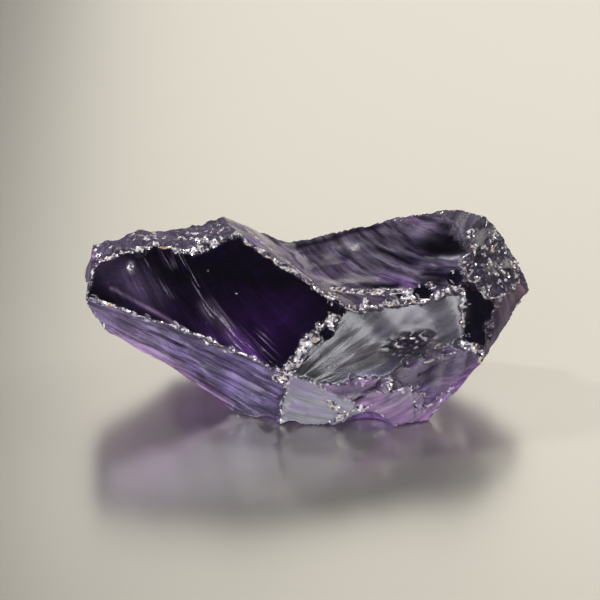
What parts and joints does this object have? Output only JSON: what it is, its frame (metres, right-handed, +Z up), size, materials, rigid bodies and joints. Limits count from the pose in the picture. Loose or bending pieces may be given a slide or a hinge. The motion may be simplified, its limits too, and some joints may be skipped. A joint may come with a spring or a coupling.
{
  "type": "rough amethyst",
  "caption": "Rough broken amethyst crystal piece with curved flake scars, sharp chipped ridges, a scooped top and one flat face to rest on.",
  "frame": {"origin": "middle of the stone's box, on the surface that it rests on", "axes": "+X along the stone's length, -Y towards the two broad front faces, +Z up"},
  "size_m": [0.0407, 0.0176, 0.0164],
  "materials": {
    "amethyst": "clear violet quartz, glossy on the flake scars, frosted white where the ridges are chipped"
  },
  "bodies": {
    "root": {"rough_amethyst": "amethyst"}
  },
  "joints": []
}
